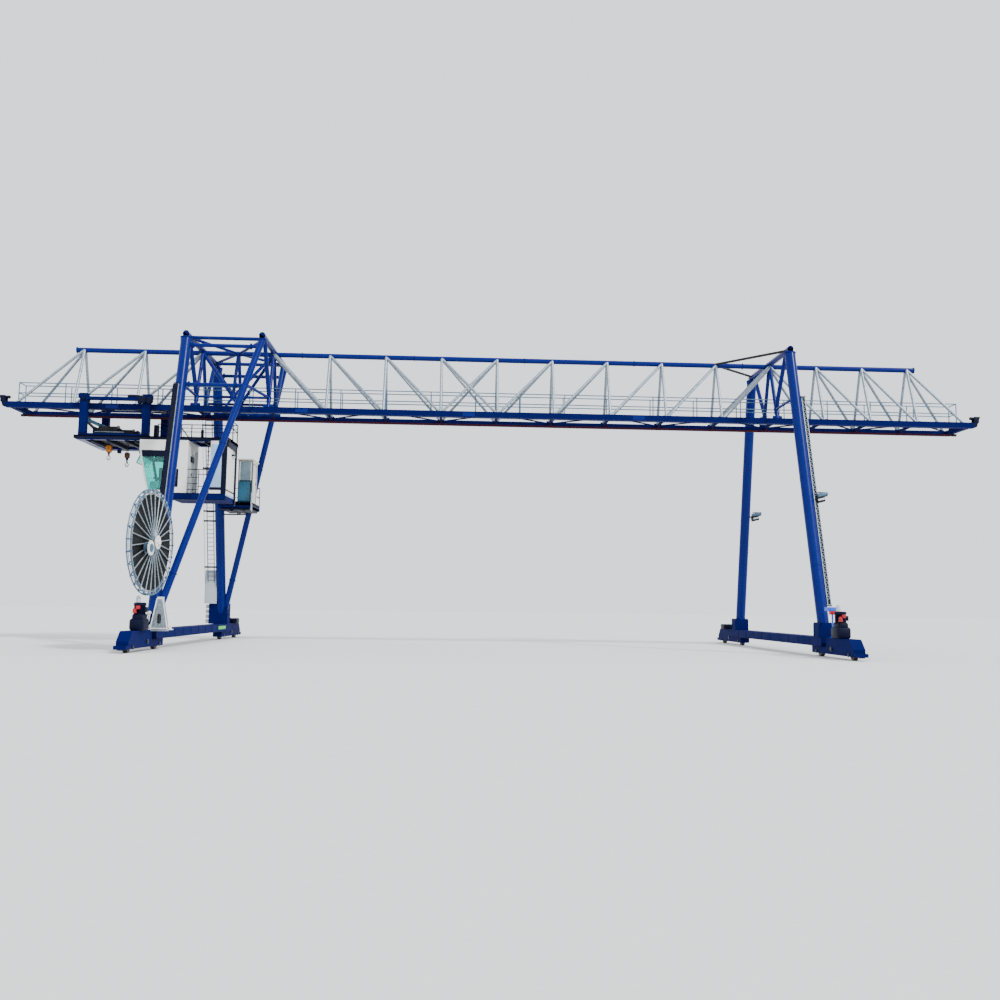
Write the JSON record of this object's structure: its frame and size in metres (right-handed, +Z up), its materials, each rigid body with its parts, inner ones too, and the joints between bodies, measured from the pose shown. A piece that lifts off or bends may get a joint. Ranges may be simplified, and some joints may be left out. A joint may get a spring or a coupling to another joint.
{
  "type": "scale model of a truss gantry crane, 1:2",
  "caption": "Half-size model of a rail-mounted gantry crane: triangular truss girder, A-shaped rigid support, slim second support, travelling trolley with cab and two hooks.",
  "frame": {"origin": "on the floor, at the centre of the model's length and width", "axes": "+X along the girder towards the slim support, +Y across it away from the cab side, +Z up"},
  "size_m": [25.83, 10.96, 7.845],
  "materials": {
    "blue_paint": "semi-gloss",
    "dark_blue_paint": "semi-gloss",
    "galvanised": "satin",
    "red_insulation": "matt",
    "wheel_steel": "worn",
    "dark_steel": "satin",
    "white_panel": "satin",
    "glass": "clear",
    "black_rubber": "matt",
    "orange_paint": "satin",
    "brown_paint": "worn",
    "hook_steel": "worn"
  },
  "bodies": {
    "gantry": {"top_chord": "blue_paint", "bottom_chord_near": "blue_paint", "bottom_chord_far": "blue_paint", "girder_web_near": "galvanised", "girder_web_far": "galvanised", "bottom_bracing": "blue_paint", "walkway_deck": "galvanised", "walkway_railing_near": "galvanised", "walkway_railing_far": "galvanised", "conductor_rail": "red_insulation", "end_buffers": "dark_blue_paint", "left_sill": "blue_paint", "right_sill": "blue_paint", "left_bogies": "blue_paint", "right_bogies": "blue_paint", "travel_wheels": "wheel_steel", "drive_units": "dark_blue_paint", "left_leg_near": "blue_paint", "left_leg_far": "blue_paint", "right_leg_near": "blue_paint", "right_leg_far": "blue_paint", "left_brace_near": "blue_paint", "left_brace_far": "blue_paint", "left_cross_beam": "blue_paint", "brace_cross_beam": "blue_paint", "right_cross_beam": "blue_paint", "left_frame_struts": "blue_paint", "left_frame_brace": "blue_paint", "support_hangers": "blue_paint", "leg_bay_web": "blue_paint", "foot_blocks": "blue_paint", "right_stays": "dark_steel", "reel_arm": "blue_paint", "cable_guide": "galvanised", "landing": "blue_paint", "landing_booth": "white_panel", "booth_glass": "glass", "left_ladder": "galvanised"},
    "reel": {"reel_wheel": "galvanised", "reel_cable": "black_rubber"},
    "trolley": {"trolley_side_near": "blue_paint", "trolley_side_far": "blue_paint", "trolley_wheels": "wheel_steel", "trolley_deck": "dark_blue_paint", "trolley_frame": "blue_paint", "winch_drums": "dark_steel", "winch_stands": "dark_blue_paint", "main_ropes": "dark_steel", "aux_ropes": "dark_steel", "cab_shell": "white_panel", "cab_glass": "glass", "cab_platform": "blue_paint", "electrical_house": "white_panel"},
    "main_hook": {"main_hook_block": "orange_paint", "main_hook": "hook_steel"},
    "aux_hook": {"aux_hook_block": "brown_paint", "aux_hook": "hook_steel"}
  },
  "joints": [
    {"name": "trolley_travel", "type": "slide", "parent": "gantry", "child": "trolley", "axis": [1, 0, 0], "range_m": [-1.75, 19.5]},
    {"name": "reel_spin", "type": "hinge", "parent": "gantry", "child": "reel", "pos_m": [-7.79, -4.3, 2.355], "axis": [0.9954, -0.0958, 0], "continuous": true},
    {"name": "main_hoist", "type": "slide", "parent": "trolley", "child": "main_hook", "axis": [0, 0, -1], "range_m": [0, 4.2], "deforming": ["main_ropes"]},
    {"name": "aux_hoist", "type": "slide", "parent": "trolley", "child": "aux_hook", "axis": [0, 0, -1], "range_m": [0, 4.1], "deforming": ["aux_ropes"]}
  ]
}
